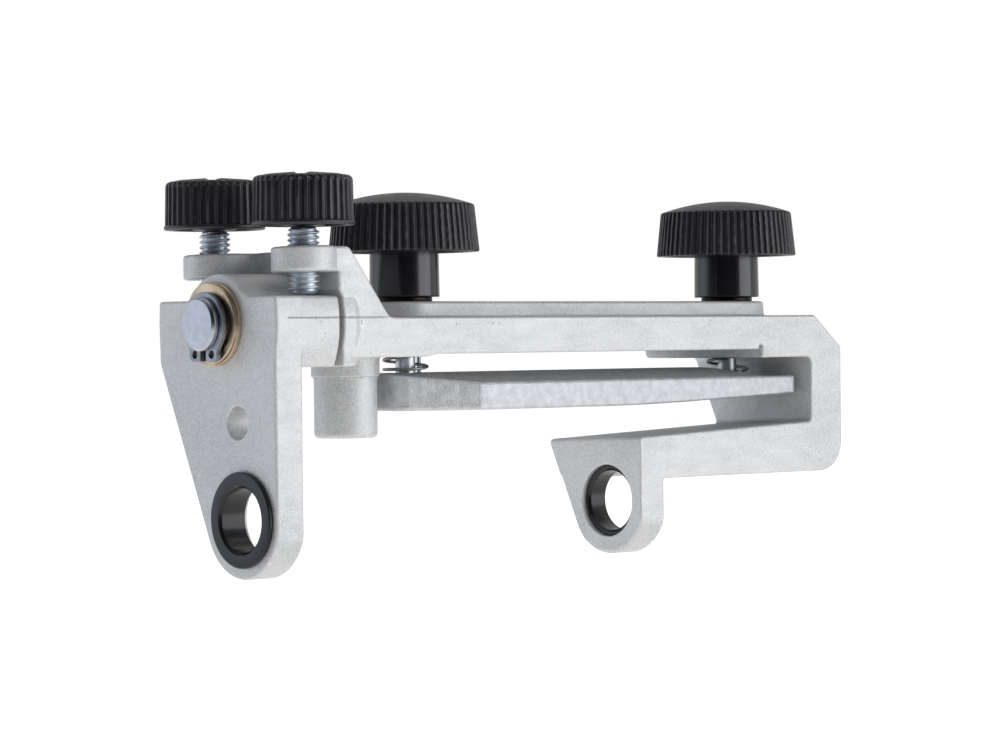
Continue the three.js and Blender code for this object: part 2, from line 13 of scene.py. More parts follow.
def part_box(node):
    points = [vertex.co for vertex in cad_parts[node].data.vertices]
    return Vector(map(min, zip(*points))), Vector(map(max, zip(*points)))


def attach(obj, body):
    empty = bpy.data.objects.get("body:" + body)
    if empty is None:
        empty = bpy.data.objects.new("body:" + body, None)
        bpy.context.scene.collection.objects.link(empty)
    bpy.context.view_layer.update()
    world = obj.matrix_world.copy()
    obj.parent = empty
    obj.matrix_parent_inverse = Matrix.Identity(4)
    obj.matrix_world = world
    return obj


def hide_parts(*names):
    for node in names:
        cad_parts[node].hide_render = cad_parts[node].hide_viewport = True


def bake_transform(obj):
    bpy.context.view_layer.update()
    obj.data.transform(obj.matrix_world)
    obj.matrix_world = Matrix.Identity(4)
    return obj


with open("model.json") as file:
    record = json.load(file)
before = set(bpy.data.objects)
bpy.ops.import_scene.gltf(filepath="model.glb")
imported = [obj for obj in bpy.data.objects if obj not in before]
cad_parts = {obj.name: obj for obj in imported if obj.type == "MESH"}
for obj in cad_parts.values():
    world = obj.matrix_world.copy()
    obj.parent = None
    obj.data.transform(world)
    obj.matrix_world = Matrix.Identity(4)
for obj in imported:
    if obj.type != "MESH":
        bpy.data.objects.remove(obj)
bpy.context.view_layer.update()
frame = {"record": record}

MM = 0.001
TAU = 2 * math.pi
X, Y, Z = 0, 1, 2


def span(node):
    """Lowest and highest corner of a CAD node, in millimetres."""
    low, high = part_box(node)
    return np.array(low) / MM, np.array(high) / MM


def middle(node):
    return sum(span(node)) / 2


# ------------------------------------------------------------------ dimensions, in millimetres

ARM_LOW, ARM_HIGH = span("swing_arm")
BAR_LOW, BAR_HIGH = span("clamp_bar")
PIN_LOW, PIN_HIGH = span("pivot_pin")
_, PIVOT_Y, PIVOT_Z = middle("pivot_pin")
ON_PIVOT = (0, PIVOT_Y, PIVOT_Z)
FRONT_Y = -9.9
BACK_Y = 2 * PIVOT_Y - FRONT_Y
SCREW_X = middle("right_clamp_stud")[X]
EAR_X, FRONT_EAR_Y, _ = middle("front_adjuster_screw")
REAR_EAR_Y = middle("rear_adjuster_screw")[Y]

HUB_R = 18
BARREL_R = 9.3
HUB_BOTTOM_Z = 27.9
FRAME_HUB_X = (-74.2, -69.3)
FRAME_HUB_TOP_Z = 42.5
SEAT_Z = 30
BEAM_TOP_Z = 37
BEAM_LEFT_Z = 29.5
SEAT_X = (-51.2, 37.2)
STOP_Z = 28.3
LEG_INNER_X = 51.9
LEG_X = span("frame_casting")[1][X]
LEG_CORNER = (53.1, 30.4)
LOW_ARM_Z = 4.4
LOW_ARM_TOP = (12.9, 14.9)
LOW_ARM_FALL = 1.0
LUG_X = (1.7, 8.3)
LUG_R = 10.7
BACK_SLANT = 0.466
BUSH_HOLE_R = 7.2
BAR_R = 6
PIVOT_HOLE_R = 5.2
STUD_HOLE_R = 2.9
SPRING_SEAT_R, SPRING_SEAT_Z = 5.2, 34
PAD_R, PAD_Z = 7.8, 40.1
HORN_X, HORN_Z = -74.9, 50
EAR_R = 6
EAR_HOLE_R = 3.1
EAR_BOTTOM_Z = 45.3
EAR_DROP = 0.8  # of the rear ear below the front one
BOSS_X, BOSS_R, BOSS_Z = -59.6, 6.05, 14.15
SLOT_AZIMUTH = 41.9  # of the cross slots on the adjuster knobs
POINTER_AZIMUTH = {"left": 150, "right": 28}  # of the grooves on the clamp knobs
PARTING_Z = 36.9  # of the seam around the hubs
PARTING_X = (-87.5, -62)
STEM_TOP_Z = 49.4  # of the clamp knobs' stems, below their rims
EDGE = 0.45  # usual rounding of a cast edge
FILLET = 0.8


# ------------------------------------------------------------------ signed distances


def corner_arc(previous, here, following, radius):
    """Start, end and centre of the arc that rounds a corner."""
    before, after = previous - here, following - here
    before, after = before / np.hypot(*before), after / np.hypot(*after)
    bisector = (before + after) / np.hypot(*(before + after))
    half = math.acos(np.clip(before @ after, -1, 1)) / 2
    back = radius / math.tan(half)
    return here + before * back, here + after * back, here + bisector * radius / math.sin(half)


class Outline:
    """A closed outline in a plane. A corner is (u, v), or (u, v, radius) where it is rounded."""

    def __init__(self, corners):
        self.lines, self.arcs, self.ring = [], [], []
        places = [np.array(c[:2], float) for c in corners]
        area = sum(a[0] * b[1] - b[0] * a[1] for a, b in zip(places, places[1:] + places[:1]))
        ends = []
        for i, here in enumerate(places):
            radius = corners[i][2] if len(corners[i]) > 2 else 0
            if radius == 0:
                ends.append((here, here))
                continue
            start, end, centre = corner_arc(places[i - 1], here, places[(i + 1) % len(places)], radius)
            before, after, outward = start - here, end - here, here - centre
            turn = before[1] * after[0] - before[0] * after[1]
            reach = np.hypot(*outward)
            self.arcs.append((centre, radius, outward / reach, radius / reach, (turn > 0) == (area > 0)))
            ends.append((start, end))
        for i, (start, end) in enumerate(ends):
            self.lines.append((ends[i - 1][1], start))
            self.ring += [start] if start is end else [start, end]

    def __call__(self, u, v):
        """Signed distance, negative inside."""
        best = np.full(u.shape, 1e9, np.float32)
        for (au, av), (bu, bv) in self.lines:
            eu, ev = bu - au, bv - av
            wu, wv = u - au, v - av
            t = np.clip((wu * eu + wv * ev) / max(eu * eu + ev * ev, 1e-12), 0, 1)
            best = np.minimum(best, (wu - eu * t) ** 2 + (wv - ev * t) ** 2)
        best = np.sqrt(best)
        inside = np.zeros(u.shape, bool)
        for (au, av), (bu, bv) in zip(self.ring, self.ring[1:] + self.ring[:1]):
            if av != bv:
                crosses = (av > v) != (bv > v)
                inside ^= crosses & (u < au + (v - av) * ((bu - au) / (bv - av)))
        for (cu, cv), radius, (mu, mv), chord, convex in self.arcs:
            wu, wv = u - cu, v - cv
            away, along = np.hypot(wu, wv), wu * mu + wv * mv
            best = np.where(along >= away * chord, np.minimum(best, np.abs(away - radius)), best)
            segment = (along > radius * chord) & (away < radius)
            inside = (inside | segment) if convex else (inside & ~segment)
        return np.where(inside, -best, best)


def rounded_box(a, b, r):
    """Distance to where both a and b are inside, with the edge between them rounded."""
    a, b = a + r, b + r
    return np.minimum(np.maximum(a, b), 0) + np.hypot(np.maximum(a, 0), np.maximum(b, 0)) - r


def join(a, b, r=FILLET):
    """Union with a round fillet."""
    if r == 0:
        return np.minimum(a, b)
    return np.maximum(np.minimum(a, b), r) - np.hypot(np.maximum(r - a, 0), np.maximum(r - b, 0))


def meet(a, b, r=EDGE):
    """Intersection with a rounded edge."""
    return -join(-a, -b, r)


def cut(a, b, r=EDGE):
    """a without b, with a rounded edge around the cut."""
    return meet(a, -b, r)


def slab(value, ends):
    """Distance to between two parallel planes."""
    return np.abs(value - (ends[0] + ends[1]) / 2) - (ends[1] - ends[0]) / 2


def rod(axis, centre, radius, ends, r=EDGE):
    """A round bar along an axis. centre is a point on its line."""
    across = [i for i in (X, Y, Z) if i != axis]

    def field(p):
        away = np.hypot(p[across[0]] - centre[across[0]], p[across[1]] - centre[across[1]])
        return rounded_box(away - radius, slab(p[axis], ends), r)

    return field


BLOCK = 4  # cells along a block's side
GRID_SHIFT = 2.37  # in cells, so that no face lies on a grid plane
CELL_KEY = np.array([1 << 42, 1 << 21, 1])  # makes one number of a cell's three


def near_surface(field, corners, size):
    """Of the cubes at the corners, those that the surface may pass through."""
    half_diagonal = size * math.sqrt(3) / 2
    mids = corners + size / 2
    return corners[np.abs(field(mids.T.astype(np.float32))) < half_diagonal * 1.5]


def sampled_blocks(field, low, high, step):
    """Blocks of cells near the surface: their first cells, and which of their grid points are inside."""
    size = BLOCK * step
    coarse = size * 4
    axes = [np.arange(low[i], high[i], coarse) for i in (X, Y, Z)]
    corners = np.stack(np.meshgrid(*axes, indexing="ij"), -1).reshape(-1, 3)
    corners = near_surface(field, corners, coarse)
    offsets = np.stack(np.meshgrid(*[np.arange(4)] * 3, indexing="ij"), -1).reshape(-1, 3)
    corners = (corners[:, None] + offsets[None] * size).reshape(-1, 3)
    corners = near_surface(field, corners, size)
    first = np.rint((corners - low) / step).astype(np.int64)
    count = BLOCK + 1
    grid = np.stack(np.meshgrid(*[np.arange(count)] * 3, indexing="ij"), -1)
    inside = np.empty((len(first), count, count, count), bool)
    at_once = 4000
    for start in range(0, len(first), at_once):
        part = first[start:start + at_once]
        points = low + (part[:, None, None, None] + grid[None]) * step
        values = field(points.reshape(-1, 3).T.astype(np.float32))
        inside[start:start + len(part)] = values.reshape(-1, count, count, count) < 0
    return first, inside


def crossed_cells(first, inside):
    """The cells that the surface passes through, in the order of their keys."""
    lower, upper = slice(0, BLOCK), slice(1, BLOCK + 1)
    number = sum(
        inside[:, i, j, k].astype(np.int8)
        for i in (lower, upper)
        for j in (lower, upper)
        for k in (lower, upper)
    )
    block, i, j, k = np.nonzero((number > 0) & (number < 8))
    cell = first[block] + np.stack([i, j, k], -1)
    keys = cell @ CELL_KEY
    order = np.argsort(keys)
    return keys[order], cell[order]


def surface_quads(first, inside, keys):
    """A quad of cells around each grid edge that goes through the surface, facing outwards."""
    quads = []
    for axis in (X, Y, Z):
        others = [a for a in (X, Y, Z) if a != axis]
        near = [slice(None)] + [slice(0, BLOCK)] * 3
        far = list(near)
        far[axis + 1] = slice(1, BLOCK + 1)
        here, there = inside[tuple(near)], inside[tuple(far)]
        block, i, j, k = np.nonzero(here != there)
        corner = first[block] + np.stack([i, j, k], -1)
        outward = here[block, i, j, k]
        around = []
        for a, b in ((1, 1), (0, 1), (0, 0), (1, 0)):
            shift = np.zeros(3, np.int64)
            shift[others[0]], shift[others[1]] = -a, -b
            around.append((corner + shift) @ CELL_KEY)
        around = np.stack(around, -1)
        found = np.minimum(np.searchsorted(keys, around), len(keys) - 1)
        whole = (keys[found] == around).all(1)
        flip = outward if axis != Y else ~outward
        quads.append(np.where(flip[:, None], found, found[:, ::-1])[whole])
    return np.concatenate(quads)


def mesh_field(name, field, low, high, step):
    """Surface nets: a mesh of quads where the field is 0, its points drawn onto the surface."""
    low = np.array(low, float) - GRID_SHIFT * step
    high = np.array(high, float) + 2 * step
    first, inside = sampled_blocks(field, low, high, step)
    keys, cell = crossed_cells(first, inside)
    centre = low + (cell + 0.5) * step
    points = centre
    for _ in range(4):
        value, normals = gradient(field, points)
        points = points - normals * np.clip(value, -step, step)[:, None]
        points = np.clip(points, centre - step * 0.6, centre + step * 0.6)
    return build(name, points, surface_quads(first, inside, keys))


def gradient(field, points):
    """Value and unit gradient of the field at the points, from four samples around each."""
    reach = 0.02
    total = np.zeros_like(points)
    for way in ((1, -1, -1), (-1, -1, 1), (-1, 1, -1), (1, 1, 1)):
        way = np.array(way, float)
        total += way * field((points + way * reach).T)[:, None]
    length = np.linalg.norm(total, axis=1, keepdims=True)
    return field(points.T), total / np.maximum(length, 1e-9)


def build(name, points, faces):
    """A mesh object from points in millimetres and an array of faces with equally many corners."""
    mesh = bpy.data.meshes.new(name)
    mesh.vertices.add(len(points))
    mesh.vertices.foreach_set("co", (np.asarray(points) * MM).astype(np.float32).ravel())
    mesh.loops.add(faces.size)
    mesh.loops.foreach_set("vertex_index", faces.astype(np.int32).ravel())
    mesh.polygons.add(len(faces))
    mesh.polygons.foreach_set("loop_start", np.arange(0, faces.size, faces.shape[1], dtype=np.int32))
    mesh.update(calc_edges=True)
    mesh.validate()
    mesh.polygons.foreach_set("use_smooth", np.ones(len(mesh.polygons), bool))
    thing = bpy.data.objects.new(name, mesh)
    bpy.context.scene.collection.objects.link(thing)
    return thing


# ------------------------------------------------------------------ the castings

FAR = 30  # past every face, for pieces that a later cut trims


def ramp(value, start, end):
    return np.clip((value - start) / (end - start), 0, 1)


def frame_field():
    profile = Outline([
        (FRAME_HUB_X[0], HUB_BOTTOM_Z, 0.3),
        (-73.6, HUB_BOTTOM_Z, 0.3),
        (-72, BEAM_LEFT_Z, 0.5),
        (SEAT_X[0] - 2, BEAM_LEFT_Z),
        (SEAT_X[0], SEAT_Z),
        (SEAT_X[1] - 0.8, SEAT_Z, 0.15),
        (SEAT_X[1] - 0.8, SEAT_Z + 0.9, 0.3),
        (SEAT_X[1], SEAT_Z + 0.9, 0.3),
        (SEAT_X[1], STOP_Z, 0.2),
        (LEG_INNER_X, STOP_Z, 1.2),
        (LEG_INNER_X - 0.3, LOW_ARM_TOP[1], 1.0),
        (LUG_X[0] - FAR, LOW_ARM_TOP[0] - 1.2),
        (LUG_X[0] - FAR, LOW_ARM_Z),
        (LEG_X, LOW_ARM_Z, 6.2),
        (LEG_X, LEG_CORNER[1], 0.8),
        (LEG_CORNER[0], BEAM_TOP_Z, 0.8),
        (-62.8, BEAM_TOP_Z, 2.4),
        (-72.4, HORN_Z, 1.5),
        (HORN_X, HORN_Z),
        (HORN_X, FRAME_HUB_TOP_Z - 0.3),
        (FRAME_HUB_X[0], FRAME_HUB_TOP_Z - 1.7),
    ])
    web = Outline([
        (-60, FRONT_Y),
        (EAR_X, FRONT_Y),
        (EAR_X, FRONT_EAR_Y + EAR_R),
        (HORN_X, FRONT_EAR_Y + EAR_R, 2.6),
        (HORN_X, REAR_EAR_Y - EAR_R, 2.6),
        (EAR_X, REAR_EAR_Y - EAR_R),
        (EAR_X, BACK_Y),
        (-60, BACK_Y),
    ])
    tangent_y = LUG_R / math.hypot(1, BACK_SLANT)
    tangent_z = -BACK_SLANT * tangent_y
    lug_side = Outline([
        (-FAR, 0),
        (0, 0),
        (tangent_y, tangent_z),
        (tangent_y + BACK_SLANT * (9 - tangent_z), 9),
        (-FAR, 9),
    ])
    collar = rod(X, ON_PIVOT, HUB_R, FRAME_HUB_X, 0.3)
    boss_collar = rod(Z, (BOSS_X, PIVOT_Y, 0), BOSS_R + 0.5, (25.8, SEAT_Z + 1), 0.25)
    boss = rod(Z, (BOSS_X, PIVOT_Y, 0), BOSS_R, (BOSS_Z, SEAT_Z + 1), 0.95)
    ears_y = (FRONT_EAR_Y, REAR_EAR_Y)
    below_beam, above_pad = SEAT_Z - 10, PAD_Z + 5
    holes = [rod(X, ON_PIVOT, PIVOT_HOLE_R, (HORN_X - 5, -67.2), 0.1)]
    holes += [rod(X, (0, 0, 0), BUSH_HOLE_R, (LUG_X[0] - 5, LUG_X[1] + 5), 0)]
    holes += [rod(Z, (EAR_X, y, 0), EAR_HOLE_R, (EAR_BOTTOM_Z - 2, HORN_Z + 2), 0) for y in ears_y]
    for x in (-SCREW_X, SCREW_X):
        holes.append(rod(Z, (x, PIVOT_Y, 0), STUD_HOLE_R, (below_beam, above_pad), 0))
        holes.append(rod(Z, (x, PIVOT_Y, 0), SPRING_SEAT_R, (below_beam, SPRING_SEAT_Z), 0.1))
    ear_slope = EAR_DROP / (REAR_EAR_Y - FRONT_EAR_Y)
    bulge_x, bulge_slope = -71.4, 2.4
    pad_taper = 0.05

    def field(p):
        x, y, z = p
        behind = (y - FRONT_Y) / (BACK_Y - FRONT_Y)
        lower = LOW_ARM_FALL * behind * ramp(z, 5, 10) * ramp(z, 24, 18)
        high_z = z + ear_slope * (y - FRONT_EAR_Y) * ramp(z, BEAM_TOP_Z + 1, EAR_BOTTOM_Z - 0.3)
        d = profile(x, high_z + lower)
        lug = meet(np.minimum(np.hypot(y, z) - LUG_R, lug_side(y, z)), x - LUG_X[1])
        lug = np.maximum(lug, slab(x, (-2, LUG_X[1])))
        d = join(d, lug, 0.6)
        slant = (y - BACK_SLANT * z) / math.hypot(1, BACK_SLANT) - LUG_R
        d = meet(d, np.minimum(slant, STOP_Z - z), 1.2)
        d = cut(d, np.maximum(x - LUG_X[0], z - 20), 0.8)
        d = meet(d, slab(y, (FRONT_Y, BACK_Y)))
        ears = np.hypot(x - EAR_X, np.abs(y - PIVOT_Y) - (REAR_EAR_Y - FRONT_EAR_Y) / 2) - EAR_R
        ears = rounded_box(np.minimum(ears, web(x, y)), slab(high_z, (EAR_BOTTOM_Z, HORN_Z)), 0.55)
        d = np.minimum(d, np.maximum(ears, x - HORN_X - 1.9))
        bulge = np.hypot(y - PIVOT_Y, z - PIVOT_Z) - HUB_R + (x - bulge_x) / bulge_slope
        ring = np.maximum(collar(p), bulge * 0.92)
        ring = meet(ring, slab(z, (HUB_BOTTOM_Z, FRAME_HUB_TOP_Z)), 0.3)
        d = np.minimum(d, ring)
        pad = np.hypot(np.maximum(np.abs(x) - SCREW_X, 0), y - PIVOT_Y) - PAD_R
        pad = pad + (z - BEAM_TOP_Z) * pad_taper
        pad = rounded_box(pad, slab(z, (PAD_Z - 5, PAD_Z)), 0.6)
        d = join(d, pad, 0.5)
        d = join(d, np.minimum(boss_collar(p), boss(p)), 0.5)
        for hole in holes:
            d = cut(d, hole(p), 0.2)
        return d

    return field


def arm_field():
    knee = np.array([25.4, 28.8])
    top_z, top_step = 41.0, 0.6
    foot_y, foot_r = 0.6, 11
    to_foot = np.array([foot_y, 0]) - knee
    reach = np.hypot(*to_foot)
    heading = math.atan2(to_foot[1], to_foot[0]) + math.asin(foot_r / reach)
    along = math.sqrt(reach ** 2 - foot_r ** 2)
    touch = knee + along * np.array([math.cos(heading), math.sin(heading)])
    plate_x = (ARM_LOW[X], -83.7)
    hub_x = (ARM_LOW[X], ARM_HIGH[X])
    side = Outline([
        (-FAR, 0),
        (foot_y, 0),
        tuple(touch),
        (*knee, 3),
        (knee[0], FAR * 2, 1),
        (-FAR, FAR * 2),
    ])
    disc = rod(X, ON_PIVOT, HUB_R, hub_x, 0.4)
    barrel = rod(X, ON_PIVOT, BARREL_R, (plate_x[0] - 3, hub_x[1] + 3), 0.5)
    through = (hub_x[0] - 3, hub_x[1] + 3)
    holes = [
        rod(X, ON_PIVOT, PIVOT_HOLE_R, through, 0),
        rod(X, (0, 1.55, 17.8), 3.05, through, 0),
        rod(X, (0, 0, 0), BUSH_HOLE_R, through, 0),
    ]

    def field(p):
        x, y, z = p
        top = top_z - top_step * ramp(y, PIVOT_Y - 3, PIVOT_Y + 3)
        d = np.minimum(side(y, z), np.hypot(y - foot_y, z) - foot_r)
        d = meet(d, FRONT_Y - y, 0.6)
        d = meet(d, x - plate_x[1], 0.6)
        hub = meet(disc(p), HUB_BOTTOM_Z - z, 0.4)
        d = meet(join(d, hub, 0.5), z - top, 0.6)
        d = meet(d, ARM_LOW[Y] - y, 0.3)
        d = join(d, barrel(p), 1.4)
        d = meet(d, slab(x, (plate_x[0], hub_x[1])), 0.5)
        for hole in holes:
            d = cut(d, hole(p), 0.3)
        return d

    return field


def clamp_bar_field():
    neck_x, neck_y, crest_y = -37.5, 0.5, 5
    front, back = BAR_LOW[Y], BAR_HIGH[Y]
    left, right = BAR_LOW[X], BAR_HIGH[X]
    low, high = BAR_LOW[Z], BAR_HIGH[Z]
    front_z, shelf_z, end_z, taper_x = 24.4, 24.5, 20.8, 7
    crown_z, far = high - 0.45, 5

    def mirror(v):
        return 2 * PIVOT_Y - v

    plan = Outline([
        (left, neck_y, 3.5),
        (neck_x, front, 2.5),
        (right, front, 1.0),
        (right, back, 1.0),
        (neck_x, back, 2.5),
        (left, mirror(neck_y), 1.8),
    ])
    beyond = 3
    beyond_z = front_z - beyond * (crown_z - front_z) / (neck_y - front)
    section = Outline([
        (front - beyond, low),
        (back + beyond, low),
        (back + beyond, beyond_z),
        (mirror(neck_y), crown_z, 3),
        (mirror(crest_y), high, 3),
        (crest_y, high, 3),
        (neck_y, crown_z, 3),
        (front - beyond, beyond_z),
    ])
    shelf = Outline([
        (43.5, front - far),
        (right + far, front - far),
        (right + far, back + far),
        (33, back + far),
        (33, 8),
    ])
    stud_r = 2.65
    holes = [rod(Z, (x, PIVOT_Y, 0), stud_r, (low - far, high + far), 0) for x in (-SCREW_X, SCREW_X)]

    def field(p):
        x, y, z = p
        under = low + (end_z - low) * (x - taper_x) / (right - taper_x) - z
        d = meet(plan(x, y), section(y, z), 0.6)
        d = meet(d, under, 0.5)
        d = cut(d, np.maximum(shelf(x, y), shelf_z - z), 0.3)
        for hole in holes:
            d = cut(d, hole(p), 0.2)
        return d

    return field


# ------------------------------------------------------------------ knobs

def grip(x, y, count, depth):
    """How deep the flutes around a knob are, in the direction of a point, with flat ribs between them."""
    rib = 0.6
    return depth * np.clip((np.cos(np.arctan2(y, x) * count) + rib) / (1 + rib), 0, 1)


def adjuster_knob_field(node, centre_y):
    low, high = span(node)
    bottom, shoulder, top = low[Z], high[Z] - 0.7, high[Z]
    rim, side_low, side_high, crown_r, lip = 9.6, 9.4, 9.2, 7.4, 0.9
    flutes, flute_depth = 36, 0.5
    hollow_r, hollow_depth = (4.2, 8.2), 1.0
    slot, slot_floor = 1.35, shoulder - 0.15
    crown_slope, slot_slope = 0.085, 0.6
    turn = math.radians(SLOT_AZIMUTH)

    def field(p):
        x, y, z = p[X] - EAR_X, p[Y] - centre_y, p[Z]
        away = np.hypot(x, y)
        level = ramp(z, bottom, shoulder)
        side = away - side_low + (side_low - side_high) * level
        side = side + grip(x, y, flutes, flute_depth) * ramp(z, shoulder, shoulder - 1.2)
        d = rounded_box(side, slab(z, (bottom + 0.2, shoulder)), 1.0)
        ring = rounded_box(away - rim, slab(z, (bottom, bottom + lip)), 0.4)
        d = join(d, ring, 0.15)
        crown = meet(away - crown_r, z - top + crown_slope * (away - slot), 0.4)
        crown = np.maximum(crown, shoulder - 1 - z)
        across = x * math.cos(turn) - y * math.sin(turn)
        along = x * math.sin(turn) + y * math.cos(turn)
        cross = np.minimum(np.abs(across), np.abs(along)) - slot - slot_slope * (z - top)
        d = join(d, cut(crown, np.maximum(cross, slot_floor - z), 0.25), 0.3)
        return cut(d, np.maximum(slab(away, hollow_r), z - bottom - hollow_depth), 0.25)

    return field


def clamp_knob_field(node, azimuth):
    """A clamp knob, with a pointer groove on its top in the direction of an azimuth."""
    low, high = span(node)
    centre_x = (low[X] + high[X]) / 2
    foot, rim_z, edge_z, top = low[Z], 49.7, 58.8, high[Z] - 0.5
    rim, edge, stem = 14.65, 13.7, 6.8
    flutes, flute_depth = 60, 0.42
    hollow_r, hollow_depth = 12.9, 2.4
    stem_taper, hollow_taper = 0.012, 0.1
    groove_ends, groove_half, groove_depth = (7.2, 10.6), 0.7, 0.35
    dome_r = (edge ** 2 + (top - edge_z) ** 2) / (2 * (top - edge_z))
    bore = rod(Z, (centre_x, PIVOT_Y, 0), 2.75, (foot - 2, 58.4), 0)
    socket = rod(Z, (centre_x, PIVOT_Y, 0), 4.1, (foot - 2, 52.1), 0)
    turn = math.radians(azimuth)

    def field(p):
        x, y, z = p[X] - centre_x, p[Y] - PIVOT_Y, p[Z]
        away = np.hypot(x, y)
        side = away - rim + (rim - edge) * (z - rim_z) / (edge_z - rim_z)
        d = rounded_box(side + grip(x, y, flutes, flute_depth), slab(z, (rim_z, top + 2)), 0.35)
        surface = np.hypot(away, z - top + dome_r) - dome_r
        d = meet(d, surface, 0.3)
        hollow_side = away - hollow_r + (z - rim_z) * hollow_taper
        d = cut(d, np.maximum(hollow_side, z - rim_z - hollow_depth), 0.35)
        shaft = rounded_box(away - stem + (z - foot) * stem_taper, slab(z, (foot, rim_z + 5)), 0.25)
        d = join(d, shaft, 0.6)
        along = x * math.cos(turn) + y * math.sin(turn)
        across = -x * math.sin(turn) + y * math.cos(turn)
        groove = rounded_box(slab(along, groove_ends), np.abs(across) - groove_half, 0.4)
        d = cut(d, np.maximum(groove, -surface - groove_depth), 0.15)
        return cut(cut(d, bore(p), 0.1), socket(p), 0.1)

    return field


# ------------------------------------------------------------------ turned pieces, threads and wire

def rounded(corners, closed):
    """Points of an outline whose (u, v, radius) corners are rounded. Open outlines keep their ends."""
    places = [np.array(corner[:2], float) for corner in corners]
    points = []
    for i, corner in enumerate(corners):
        radius = corner[2] if len(corner) > 2 else 0
        if radius == 0 or (not closed and i in (0, len(corners) - 1)):
            points.append(places[i])
            continue
        start, end, centre = corner_arc(places[i - 1], places[i], places[(i + 1) % len(places)], radius)
        for t in np.linspace(0, 1, 6):
            way = (start - centre) * (1 - t) + (end - centre) * t
            points.append(centre + way / np.hypot(*way) * radius)
    return np.array(points)


@contextmanager
def opened(thing):
    """A piece's mesh for editing. Its faces are turned outwards at the end."""
    mesh = bmesh.new()
    mesh.from_mesh(thing.data)
    yield mesh
    bmesh.ops.recalc_face_normals(mesh, faces=mesh.faces)
    mesh.to_mesh(thing.data)
    mesh.free()


def finished(thing, angle=35):
    """Welds a piece's doubled points and keeps its sharper edges sharp."""
    with opened(thing) as mesh:
        bmesh.ops.remove_doubles(mesh, verts=mesh.verts, dist=2e-6)
        bmesh.ops.dissolve_degenerate(mesh, edges=mesh.edges, dist=1e-7)
    thing.data.set_sharp_from_angle(angle=math.radians(angle))
    return thing


def placed(axis, centre, radius, height, angle):
    """Points around an axis through a centre, stacked along a last dimension."""
    u, v = radius * np.cos(angle), radius * np.sin(angle)
    if axis == X:
        return np.stack([height, centre[Y] + u, centre[Z] + v], -1)
    return np.stack([centre[X] + u, centre[Y] + v, height], -1)


def skin(name, points, wrap_rows):
    """Quads over a grid of points: rows by angles, closed around, and across the rows where asked."""
    rows, count = points.shape[:2]
    number = np.arange(rows * count).reshape(rows, count)
    here = number if wrap_rows else number[:-1]
    there = np.roll(number, -1, 0) if wrap_rows else number[1:]
    faces = np.stack([here, np.roll(here, -1, 1), np.roll(there, -1, 1), there], -1).reshape(-1, 4)
    return finished(build(name, points.reshape(-1, 3), faces))


def lathe(name, corners, axis, centre, closed=False, segments=96, wave=0):
    """A turned piece from (radius, height, rounding) corners. A closed profile makes a ring."""
    profile = rounded(corners, closed)
    angle = np.linspace(0, TAU, segments, endpoint=False)
    radius = np.repeat(profile[:, :1], segments, 1)
    height = profile[:, 1:] + wave * np.cos(2 * angle)[None]
    return skin(name, placed(axis, centre, radius, height, angle[None]), closed)


def chamfers(ends, radius, depth):
    """The most a screw's radius may be at a height, with both ends chamfered."""
    steepness = 1.2

    def limit(height):
        return radius - depth + steepness * np.minimum(height - ends[0], ends[1] - height)

    return limit


def screw(name, centre, ends, radius, pitch, limit):
    """A threaded rod along Z. limit(height) gives the most its radius may be: necks and end chamfers."""
    per_turn, segments = 14, 72
    depth = 0.6 * pitch
    crest, flank = 0.12, 0.72  # shares of half a pitch
    turns = math.ceil((ends[1] - ends[0]) / pitch) + 3
    angle = np.linspace(0, TAU, segments, endpoint=False)
    row = np.arange(turns * per_turn)
    off_crest = np.abs((row % per_turn) / per_turn - 0.5) * 2
    thread = radius - depth * (1 - np.clip((off_crest - crest) / flank, 0, 1))[:, None]
    height = ends[0] + (row[:, None] / per_turn - 1.5 + angle[None] / TAU) * pitch
    height = np.clip(height, *ends)
    points = placed(Z, centre, np.minimum(thread, limit(height)), height, angle[None])
    number = np.arange(points.shape[0] * segments).reshape(-1, segments)
    ahead = np.concatenate([number[:, 1:], np.roll(number[:, :1], -per_turn, 0)], 1)
    last = len(row) - per_turn - 1
    faces = np.stack([number[:-1], ahead[:-1], ahead[1:], number[1:]], -1)[:last].reshape(-1, 4)
    thing = finished(build(name, points.reshape(-1, 3), faces), 60)
    with opened(thing) as mesh:
        bmesh.ops.delete(mesh, geom=[v for v in mesh.verts if not v.link_faces], context="VERTS")
        bmesh.ops.holes_fill(mesh, edges=[e for e in mesh.edges if e.is_boundary])
    return thing


def wire(name, route, radius):
    """A round wire along points, with closed ends."""
    along = np.gradient(route, axis=0)
    along /= np.linalg.norm(along, axis=1, keepdims=True)
    side = np.cross(along, [0, 0, 1])
    side /= np.linalg.norm(side, axis=1, keepdims=True)
    up = np.cross(side, along)
    angle = np.linspace(0, TAU, 14, endpoint=False)
    around = side[:, None] * np.cos(angle)[None, :, None] + up[:, None] * np.sin(angle)[None, :, None]
    scale = np.array([0, 0.7, *np.ones(len(route)), 0.7, 0])[:, None, None]
    padded = np.concatenate([route[:1], route[:1], route, route[-1:], route[-1:]])
    around = np.concatenate([around[:1], around[:1], around, around[-1:], around[-1:]])
    push = np.zeros_like(padded)
    push[:2] = -along[0] * radius * np.array([[0.35], [0.25]])
    push[-2:] = along[-1] * radius * np.array([[0.25], [0.35]])
    points = (padded + push)[:, None] + around * radius * scale
    return skin(name, points, False)


